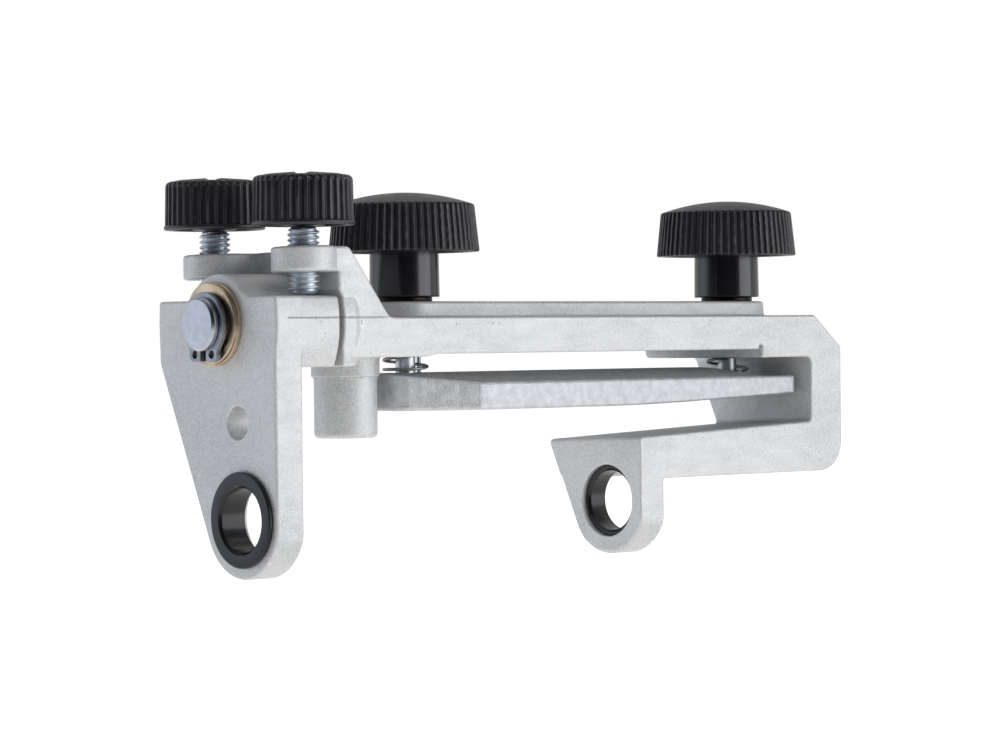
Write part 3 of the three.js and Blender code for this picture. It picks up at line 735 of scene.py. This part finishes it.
def coil(node):
    """A compression spring with closed ends, between the clamp bar and the beam."""
    low, high = span(node)
    centre = (low + high) / 2
    gauge, turns, end_turn, start_angle = 0.3, 3.6, 0.6, 0.6
    radius = (high[X] - low[X]) / 2 - gauge
    t = np.linspace(0, 1, 260)
    closed_turn = end_turn / turns
    rise = np.clip((t - closed_turn) / (1 - 2 * closed_turn), 0, 1)
    height = low[Z] + gauge + (high[Z] - low[Z] - 2 * gauge) * rise
    route = placed(Z, centre, radius, height, TAU * turns * t + start_angle)
    return wire(node.replace("clamp_", "") + "_wire", route, gauge)


# ------------------------------------------------------------------ the pieces

RECORD = frame["record"]
BODIES = {node: body for body, nodes in RECORD["behaviour"]["bodies"].items() for node in nodes}
TRIANGLES = 190000  # the most for one piece


def lighten(thing, field):
    """Brings a field's mesh under the limit by joining its flat stretches, and gives it true normals."""
    count = 2 * len(thing.data.polygons)
    if count > TRIANGLES:
        reduce = thing.modifiers.new("reduce", "DECIMATE")
        reduce.ratio = TRIANGLES / count
        evaluated = thing.evaluated_get(bpy.context.evaluated_depsgraph_get())
        reduced = bpy.data.meshes.new_from_object(evaluated)
        thing.modifiers.clear()
        thing.data = reduced
    points = np.empty(len(thing.data.vertices) * 3)
    thing.data.vertices.foreach_get("co", points)
    _, normals = gradient(field, points.reshape(-1, 3) / MM)
    thing.data.polygons.foreach_set("use_smooth", np.ones(len(thing.data.polygons), bool))
    thing.data.normals_split_custom_set_from_vertices(normals.astype(np.float32))
    return thing


def carved(name, node, field, step):
    """A piece meshed from a field within its CAD node's box."""
    return lighten(mesh_field(name, field, *span(node), step), field)


def stand_in(piece, node, finish):
    """Puts a detailed piece in a CAD node's place, with its finish."""
    piece.data.materials.clear()
    piece.data.materials.append(finish)
    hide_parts(node)
    return piece


def mount(piece, node, finish):
    stand_in(piece, node, finish)
    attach(piece, BODIES[node])


def circlip_field():
    low, high = span("pivot_circlip")
    ring_r, ring_drop, bore_r = 6.05, 0.15, 4.68
    lug_half, lug_top, gap_half = 4.2, -3.8, 0.8
    eye_y, eye_z, eye_r = 2.5, -5.6, 0.75

    def field(p):
        x, y, z = p[X], np.abs(p[Y] - PIVOT_Y), p[Z] - PIVOT_Z
        ring = np.hypot(y, z + ring_drop) - ring_r
        lugs = rounded_box(y - lug_half, slab(z, (low[Z] - PIVOT_Z, lug_top)), 1.2)
        d = rounded_box(join(ring, lugs, 0.5), slab(x, (low[X], high[X])), 0.12)
        d = cut(d, np.hypot(y, z) - bore_r, 0.1)
        d = cut(d, rounded_box(y - gap_half, z + 3, 0.3), 0.12)
        return cut(d, np.hypot(y - eye_y, z - eye_z) - eye_r, 0.1)

    return field


def bushes():
    wall_r, flange_r, mouth = 7.1, 8.9, 0.5
    mouth_r, seat = BAR_R + mouth, ARM_LOW[X] - 0.05
    for side in ("right", "left"):
        node = side + "_bar_bush"
        low, high = span(node)
        profile = [
            (BAR_R, low[X] + mouth, 0.15),
            (BAR_R, high[X] - mouth, 0.15),
            (mouth_r, high[X], 0.1),
            (wall_r, high[X], 0.1),
        ]
        if side == "left":
            flange = [(wall_r, seat), (flange_r, seat, 0.15), (flange_r, low[X], 0.3)]
            profile += [*flange, (mouth_r, low[X], 0.15)]
        else:
            profile += [(wall_r, low[X], 0.1), (mouth_r, low[X], 0.1)]
        mount(lathe(side + "_bush_liner", profile, X, (0, 0, 0), True), node, BUSH)


def pivot_pin():
    clip_low, clip_high = span("pivot_circlip")
    pin_r, groove_r, gap, rim, chamfer = 5, 4.6, 0.1, 0.5, 0.4
    profile = [
        (0, PIN_LOW[X]),
        (pin_r - rim, PIN_LOW[X], 0.2),
        (pin_r, PIN_LOW[X] + rim, 0.2),
        (pin_r, clip_low[X] - gap, 0.08),
        (groove_r, clip_low[X] - gap),
        (groove_r, clip_high[X] + gap),
        (pin_r, clip_high[X] + gap, 0.08),
        (pin_r, PIN_HIGH[X] - chamfer, 0.2),
        (pin_r - chamfer, PIN_HIGH[X], 0.2),
        (0, PIN_HIGH[X]),
    ]
    mount(lathe("hinge_pin", profile, X, ON_PIVOT), "pivot_pin", PIN)


def circlip():
    mount(carved("retaining_ring", "pivot_circlip", circlip_field(), 0.1), "pivot_circlip", CLIP)


def flat_washer():
    low, high = span("pivot_washer")
    outer, inner = (high[Z] - low[Z]) / 2, 5.25
    face = low[X] - 0.15
    profile = [(inner, face, 0.1), (outer, face, 0.2), (outer, high[X], 0.2), (inner, high[X], 0.1)]
    mount(lathe("flat_washer", profile, X, ON_PIVOT, True), "pivot_washer", BRASS)


def wave_washer():
    low, high = span("wave_washer")
    outer, inner, thick = (high[Z] - low[Z]) / 2, 5.3, 0.55
    wave = (high[X] - low[X] - thick) / 2
    mid = (low[X] + high[X]) / 2
    profile = [
        (inner, mid - thick / 2, 0.08),
        (outer, mid - thick / 2, 0.22),
        (outer, mid + thick / 2, 0.12),
        (inner, mid + thick / 2, 0.08),
    ]
    mount(lathe("spring_washer", profile, X, ON_PIVOT, True, 144, wave), "wave_washer", BRASS)


def adjusters():
    for side, y in (("front", FRONT_EAR_Y), ("rear", REAR_EAR_Y)):
        node = side + "_adjuster_screw"
        low, high = span(node)
        ends, radius = (low[Z], high[Z]), (high[X] - low[X]) / 2
        limit = chamfers(ends, radius, 1)
        mount(screw(side + "_adjuster_thread", (EAR_X, y), ends, radius, 1.0, limit), node, ZINC)
        node = side + "_adjuster_knob"
        mount(carved(side + "_thumb_knob", node, adjuster_knob_field(node, y), 0.14), node, PLASTIC)


def clamp_stud(side):
    """A stud whose thread stops at a plain waist inside the spring."""
    node = side + "_clamp_stud"
    low, high = span(node)
    spring_low, spring_high = span(side + "_clamp_spring")
    x, radius, ends = (low[X] + high[X]) / 2, (high[X] - low[X]) / 2, (low[Z], high[Z])
    neck_r, neck = 1.95, (spring_low[Z] - 0.5, spring_high[Z] + 0.9)
    tip = chamfers(ends, radius, 0.7)

    def limit(height):
        waist = neck_r + np.maximum(neck[0] - height, 0) + np.maximum(height - neck[1], 0)
        return np.minimum(tip(height), waist)

    mount(screw(side + "_stud_thread", (x, PIVOT_Y), ends, radius, 0.8, limit), node, ZINC)


def knob_insert(side):
    node = side + "_knob_insert"
    low, high = span(node)
    flange_r, body_r, hole_r = (high[X] - low[X]) / 2, 4, 2.65
    flange_z = low[Z] + 0.8
    profile = [
        (hole_r, low[Z], 0.15),
        (hole_r, high[Z], 0.15),
        (body_r, high[Z], 0.2),
        (body_r, flange_z),
        (flange_r, flange_z, 0.15),
        (flange_r, low[Z], 0.15),
    ]
    mount(lathe(side + "_brass_insert", profile, Z, (low + high) / 2, True), node, INSERT)


def clamp_spring(side):
    node = side + "_clamp_spring"
    spring = stand_in(coil(node), node, SPRING)
    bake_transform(spring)


def clamps():
    for side, azimuth in POINTER_AZIMUTH.items():
        clamp_stud(side)
        knob_insert(side)
        node = side + "_clamp_knob"
        mount(carved(side + "_star_knob", node, clamp_knob_field(node, azimuth), 0.2), node, PLASTIC)
        clamp_spring(side)


def guide_pin():
    low, high = span("guide_pin")
    radius = (high[X] - low[X]) / 2
    centre = (low + high) / 2
    profile = [
        (0, low[Z]),
        (radius, low[Z], 0.1),
        (radius, high[Z], 0.2),
        (0, high[Z]),
    ]
    mount(lathe("steel_guide", profile, Z, centre, segments=32), "guide_pin", PIN)


def castings():
    mount(carved("cast_frame", "frame_casting", frame_field(), 0.36), "frame_casting", CAST)
    mount(carved("cast_arm", "swing_arm", arm_field(), 0.3), "swing_arm", CAST)
    mount(carved("cast_clamp_bar", "clamp_bar", clamp_bar_field(), 0.36), "clamp_bar", CLAMP)


# ------------------------------------------------------------------ materials

class Nodes:
    """A node tree, with short ways to add nodes and join them."""

    def __init__(self, tree):
        self.tree = tree

    def node(self, kind, **settings):
        node = self.tree.nodes.new("ShaderNode" + kind)
        for key, value in settings.items():
            setattr(node, key, value)
        return node

    def put(self, socket, value):
        if isinstance(value, bpy.types.NodeSocket):
            self.tree.links.new(value, socket)
        else:
            socket.default_value = value

    def axis(self, vector, index):
        """One coordinate of a vector."""
        axes = self.node("SeparateXYZ")
        self.put(axes.inputs[0], vector)
        return axes.outputs[index]

    def fade(self, value, low, high, start=0.0, end=1.0):
        """Maps low..high onto start..end, clamped."""
        fade = self.node("MapRange")
        for index, number in enumerate((value, low, high, start, end)):
            self.put(fade.inputs[index], number)
        return fade.outputs[0]

    def calc(self, operation, a, b=0.0):
        calc = self.node("Math", operation=operation)
        self.put(calc.inputs[0], a)
        self.put(calc.inputs[1], b)
        return calc.outputs[0]

    def mix(self, factor, a, b):
        mix = self.node("Mix", data_type="RGBA")
        self.put(mix.inputs[0], factor)
        for index, colour in ((6, a), (7, b)):  # the node's two colour sockets
            self.put(mix.inputs[index], (*colour, 1) if isinstance(colour, tuple) else colour)
        return mix.outputs[2]


class Finish(Nodes):
    """A procedural material. Its textures are placed in millimetres of the part's frame."""

    def __init__(self, name, **constants):
        self.material = bpy.data.materials.new(name)
        self.material.use_nodes = True
        super().__init__(self.material.node_tree)
        self.shader = self.tree.nodes["Principled BSDF"]
        for socket, value in constants.items():
            self.shader.inputs[socket.replace("_", " ")].default_value = value
        scale = self.node("VectorMath", operation="SCALE")
        scale.inputs["Scale"].default_value = 1 / MM
        self.put(scale.inputs[0], self.node("TexCoord").outputs["Object"])
        self.place = scale.outputs[0]

    def noise(self, per_mm, detail=3, stretch=(1, 1, 1)):
        stretched = self.node("VectorMath", operation="MULTIPLY")
        self.put(stretched.inputs[0], self.place)
        self.put(stretched.inputs[1], tuple(per_mm * s for s in stretch))
        noise = self.node("TexNoise")
        self.put(noise.inputs["Vector"], stretched.outputs[0])
        self.put(noise.inputs["Scale"], 1.0)
        self.put(noise.inputs["Detail"], detail)
        return noise.outputs["Fac"]

    def edges(self, low=0.52, high=0.62):
        """1 on the outer edges of a finely meshed piece, 0 elsewhere."""
        return self.fade(self.node("NewGeometry").outputs["Pointiness"], low, high)

    def bump(self, height, depth, below=None):
        """Relief of a depth in millimetres, on top of the relief below."""
        bump = self.node("Bump")
        self.put(bump.inputs["Distance"], depth * MM)
        self.put(bump.inputs["Height"], height)
        if below:
            self.put(bump.inputs["Normal"], below)
        return bump.outputs[0]

    def done(self, colour, roughness, normal):
        self.put(self.shader.inputs["Base Color"], colour)
        self.put(self.shader.inputs["Roughness"], roughness)
        self.put(self.shader.inputs["Normal"], normal)
        return self.material


def parting_line(f):
    """1 along the line that the die's halves left around the hubs, 0 elsewhere."""
    x, z = f.axis(f.place, X), f.axis(f.place, Z)
    near_line = f.fade(f.calc("ABSOLUTE", f.calc("SUBTRACT", z, PARTING_Z)), 0.05, 0.2, 1, 0)
    past_face = f.fade(x, PARTING_X[0], PARTING_X[0] + 0.3)
    before_beam = f.fade(x, PARTING_X[1] - 3, PARTING_X[1], 1, 0)
    return f.calc("MULTIPLY", near_line, f.calc("MULTIPLY", past_face, before_beam))


def cast_metal():
    """Tumbled die casting: fine grain, faint clouds, small pits, a painted highlight on the edges and a
    painted shadow along the parting seam.
    """
    f = Finish("tumbled_casting", Metallic=0.66)
    clouds = f.noise(0.07, 3)
    grain = f.noise(2.6, 4)
    flow = f.noise(0.5, 3, (0.35, 1, 1))
    pits = f.fade(f.noise(1.3, 2), 0.30, 0.22)
    colour = f.mix(f.fade(clouds, 0.35, 0.65), (0.52, 0.525, 0.53), (0.62, 0.62, 0.62))
    colour = f.mix(f.fade(grain, 0.35, 0.65, 0, 0.75), colour, (0.78, 0.78, 0.775))
    colour = f.mix(f.fade(pits, 0, 1, 0, 0.5), colour, (0.36, 0.37, 0.38))
    # painted highlight: the convex edges are lightened towards a pale grey
    colour = f.mix(f.fade(f.edges(), 0, 1, 0, 0.6), colour, (0.86, 0.86, 0.85))
    roughness = f.fade(f.calc("ADD", grain, flow), 0.7, 1.3, 0.48, 0.64)
    normal = f.bump(f.noise(0.22, 2), 0.05)
    normal = f.bump(flow, 0.02, normal)
    normal = f.bump(f.calc("SUBTRACT", grain, pits), 0.05, normal)
    seam = parting_line(f)
    # painted shadow: the colour darkens along the parting seam; its raised line comes from the bump
    colour = f.mix(f.fade(seam, 0, 1, 0, 0.45), colour, (0.30, 0.30, 0.30))
    return f.done(colour, roughness, f.bump(seam, 0.12, normal))


def clamp_metal():
    """Brighter casting with a mottled skin, like spangled zinc, and a painted highlight on its edges."""
    f = Finish("mottled_casting", Metallic=0.6)
    spangle = f.node("TexVoronoi", feature="F1")
    f.put(spangle.inputs["Vector"], f.place)
    f.put(spangle.inputs["Scale"], 0.9)
    tone = f.node("SeparateColor")
    f.put(tone.inputs[0], spangle.outputs["Color"])
    mottle = f.noise(0.6, 4)
    grain = f.noise(2.4, 3)
    colour = f.mix(f.fade(mottle, 0.35, 0.65), (0.47, 0.49, 0.505), (0.60, 0.615, 0.63))
    colour = f.mix(f.fade(tone.outputs[0], 0, 1, 0, 0.12), colour, (0.76, 0.78, 0.79))
    # painted highlight: the convex edges are lightened
    colour = f.mix(f.fade(f.edges(), 0, 1, 0, 0.6), colour, (0.80, 0.81, 0.82))
    roughness = f.fade(f.calc("ADD", mottle, tone.outputs[1]), 0.4, 1.4, 0.38, 0.5)
    normal = f.bump(mottle, 0.05)
    normal = f.bump(grain, 0.11, normal)
    return f.done(colour, roughness, normal)


def plated(name, base, shade, roughness):
    """Plated or drawn steel: faint streaks and stains over an even metal."""
    f = Finish(name, Metallic=1.0)
    streaks = f.noise(2.2, 3, (1, 1, 0.3))
    stains = f.noise(0.5, 2)
    colour = f.mix(f.fade(stains, 0.35, 0.7), base, shade)
    rough = f.fade(streaks, 0.3, 0.7, roughness - 0.05, roughness + 0.08)
    return f.done(colour, rough, f.bump(streaks, 0.003))


def ground_steel():
    """The pin: turned rings around the pivot on its end face, and fine scratches."""
    f = Finish("ground_steel", Metallic=1.0)
    y = f.calc("SUBTRACT", f.axis(f.place, Y), PIVOT_Y)
    z = f.calc("SUBTRACT", f.axis(f.place, Z), PIVOT_Z)
    away = f.calc("SQRT", f.calc("ADD", f.calc("MULTIPLY", y, y), f.calc("MULTIPLY", z, z)))
    rings = f.node("TexNoise", noise_dimensions="1D")
    f.put(rings.inputs["W"], away)
    f.put(rings.inputs["Scale"], 5.0)
    f.put(rings.inputs["Detail"], 3.0)
    stains = f.noise(0.6, 3)
    colour = f.mix(f.fade(stains, 0.35, 0.7), (0.62, 0.64, 0.69), (0.57, 0.59, 0.64))
    rough = f.fade(f.calc("ADD", rings.outputs[0], stains), 0.7, 1.3, 0.28, 0.42)
    return f.done(colour, rough, f.bump(rings.outputs[0], 0.012))


def rolled_brass(name, shade, base):
    f = Finish(name, Metallic=1.0)
    clouds = f.noise(0.45, 3)
    scratches = f.noise(3.0, 2, (1, 1, 0.25))
    colour = f.mix(f.fade(clouds, 0.35, 0.65), shade, base)
    rough = f.fade(scratches, 0.3, 0.7, 0.26, 0.4)
    return f.done(colour, rough, f.bump(scratches, 0.008))


def moulded_plastic(name, colour, painted_sheen_colour, roughness, grain_depth, specular):
    """Black moulded plastic: fine grain, dull patches, a painted sheen that greys the edges, and smooth
    below the knobs' rims.
    """
    f = Finish(name, Specular_IOR_Level=specular)
    grain = f.noise(3.2, 3)
    clouds = f.noise(0.25, 3)
    tint = f.mix(f.fade(clouds, 0.35, 0.65), colour, tuple(1.5 * c for c in colour))
    # painted sheen: the convex edges are lightened towards a grey
    tint = f.mix(f.fade(f.edges(0.58, 0.72), 0, 1, 0, 0.5), tint, painted_sheen_colour)
    rough = f.fade(f.calc("ADD", grain, clouds), 0.7, 1.3, roughness - 0.07, roughness + 0.09)
    polish = f.fade(f.axis(f.place, Z), STEM_TOP_Z, STEM_TOP_Z + 0.4, 0.45, 1)
    return f.done(tint, f.calc("MULTIPLY", rough, polish), f.bump(grain, grain_depth))


def pale_floor():
    f = Finish("pale_floor", Roughness=1.0, Specular_IOR_Level=0.0)
    tone = f.noise(0.004, 3)
    f.put(f.shader.inputs["Base Color"], f.mix(tone, (0.86, 0.86, 0.86), (0.9, 0.9, 0.9)))
    f.put(f.shader.inputs["Emission Color"], (1, 1, 1, 1))
    f.put(f.shader.inputs["Emission Strength"], 0.85)
    return f.material


CAST = cast_metal()
CLAMP = clamp_metal()
ZINC = plated("zinc_plate", (0.82, 0.87, 0.92), (0.68, 0.74, 0.82), 0.36)
CLIP = plated("phosphated_clip", (0.40, 0.43, 0.48), (0.30, 0.33, 0.38), 0.36)
SPRING = plated("drawn_wire", (0.50, 0.49, 0.45), (0.34, 0.33, 0.30), 0.3)
PIN = ground_steel()
BRASS = rolled_brass("rolled_brass", (0.58, 0.45, 0.30), (0.76, 0.61, 0.43))
INSERT = rolled_brass("dark_brass", (0.02, 0.016, 0.013), (0.035, 0.028, 0.022))
# the third colours are the painted sheen on the plastic's edges
PLASTIC = moulded_plastic("knob_plastic", (0.005, 0.005, 0.007), (0.05, 0.05, 0.055), 0.38, 0.010, 0.85)
BUSH = moulded_plastic("bush_plastic", (0.005, 0.005, 0.006), (0.035, 0.035, 0.04), 0.5, 0.004, 0.5)


# ------------------------------------------------------------------ stage, light and camera

def floor():
    half = 20000
    height = ARM_LOW[Z] - 0.05
    corners = [(-half, -half, height), (half, -half, height), (half, half, height), (-half, half, height)]
    plane = build("floor", np.array(corners, float), np.array([[0, 1, 2, 3]]))
    plane.data.materials.append(pale_floor())
    plane.visible_glossy = False


def softbox(name, direction, distance, size, power, colour, mirrored):
    """An area light that looks at the object from a direction. Glossy rays see it only if mirrored."""
    light = bpy.data.lights.new(name, "AREA")
    light.shape = "RECTANGLE"
    light.size, light.size_y = size
    light.energy = power
    light.color = colour
    lamp = bpy.data.objects.new(name, light)
    lamp.visible_glossy = mirrored
    way = Vector(direction).normalized()
    turned = way.to_track_quat("Z", "Y").to_matrix().to_4x4()
    lamp.matrix_world = Matrix.Translation(LIT_POINT + way * distance) @ turned
    bpy.context.scene.collection.objects.link(lamp)


DARK_SIDE = (-0.8, -0.6, -0.03)
ROOM = (  # tones from opposite the dark side round to it
    (0.0, (0.66, 0.66, 0.66)),
    (0.3, (0.64, 0.65, 0.67)),
    (0.5, (0.54, 0.60, 0.71)),
    (0.72, (0.46, 0.50, 0.57)),
    (0.8, (0.12, 0.13, 0.15)),
    (0.88, (0.015, 0.015, 0.02)),
    (1.0, (0.015, 0.015, 0.02)),
)
CEILING = (0.3, 0.7, 1, 0.25)  # how far up the room dims, and by how much
GROUND = (-0.1, -0.35, 0, 1)  # how far down the bright ground begins
GROUND_TONE = (0.9, 0.9, 0.9)
LIT_POINT = Vector((-0.01, 0.0075, 0.03))
SOFTBOXES = (  # name, direction, distance and size in metres, power in watts, colour, whether mirrored
    ("front_softbox", (0.49, -0.87, 0.05), 0.9, (0.78, 0.7), 2.5, (1, 0.99, 0.97), True),
    ("top_softbox", (0.1, 0.3, 1), 1.0, (0.9, 0.9), 1.8, (1, 1, 1), True),
    ("left_softbox", (-0.9, 1, 0.25), 1.0, (0.5, 0.6), 0.35, (0.86, 0.93, 1), True),
    ("fill", (-0.5, -0.8, 0.5), 1.0, (0.6, 0.6), 3.4, (1, 1, 1), False),
)
AZIMUTH, PITCH, ROLL = (math.radians(a) for a in (41.863, 0.537, -0.676))  # of the camera
CAMERA_PLACE = (-464.406, -488.446, 31.803)
FOCAL_LENGTH = 120.757


def studio():
    """A white backdrop to the camera; around the object a room, brighter to its front and right."""
    world = bpy.data.worlds.new("studio")
    world.use_nodes = True
    bpy.context.scene.world = world
    n = Nodes(world.node_tree)
    seen = n.tree.nodes["Background"]
    seen.inputs["Color"].default_value = (1, 1, 1, 1)
    way = n.node("TexCoord").outputs["Generated"]
    toward = n.node("VectorMath", operation="DOT_PRODUCT")
    n.put(toward.inputs[0], way)
    n.put(toward.inputs[1], Vector(DARK_SIDE).normalized())
    tones = n.node("ValToRGB")
    steps = tones.color_ramp.elements
    steps[0].color, steps[1].color = (*ROOM[0][1], 1), (*ROOM[-1][1], 1)
    for share, tone in ROOM[1:-1]:
        steps.new(share).color = (*tone, 1)
    n.put(tones.inputs[0], n.fade(toward.outputs["Value"], -1, 1))
    height = n.axis(way, Z)
    room = n.node("Background")
    n.put(room.inputs["Strength"], n.fade(height, *CEILING))
    n.put(room.inputs["Color"], n.mix(n.fade(height, *GROUND), tones.outputs[0], GROUND_TONE))
    mix = n.node("MixShader")
    n.put(mix.inputs[0], n.node("LightPath").outputs["Is Camera Ray"])
    n.put(mix.inputs[1], room.outputs[0])
    n.put(mix.inputs[2], seen.outputs[0])
    n.put(n.tree.nodes["World Output"].inputs["Surface"], mix.outputs[0])
    for box in SOFTBOXES:
        softbox(*box)


def camera():
    ahead = Vector((math.sin(AZIMUTH), math.cos(AZIMUTH), 0))
    forward = ahead * math.cos(PITCH) - Vector((0, 0, math.sin(PITCH)))
    level = Vector((math.cos(AZIMUTH), -math.sin(AZIMUTH), 0))
    upward = level.cross(forward)
    right = math.cos(ROLL) * level + math.sin(ROLL) * upward
    up = math.cos(ROLL) * upward - math.sin(ROLL) * level
    lens = bpy.data.cameras.new("camera")
    lens.lens = FOCAL_LENGTH
    lens.sensor_width = 36
    lens.clip_start = 0.01
    viewer = bpy.data.objects.new("camera", lens)
    viewer.matrix_world = Matrix((right, up, -forward)).transposed().to_4x4()
    viewer.location = Vector(CAMERA_PLACE) * MM
    bpy.context.scene.collection.objects.link(viewer)
    bpy.context.scene.camera = viewer


castings()
bushes()
pivot_pin()
circlip()
flat_washer()
wave_washer()
adjusters()
clamps()
guide_pin()
floor()
studio()
camera()
bpy.context.scene.view_settings.view_transform = "Standard"
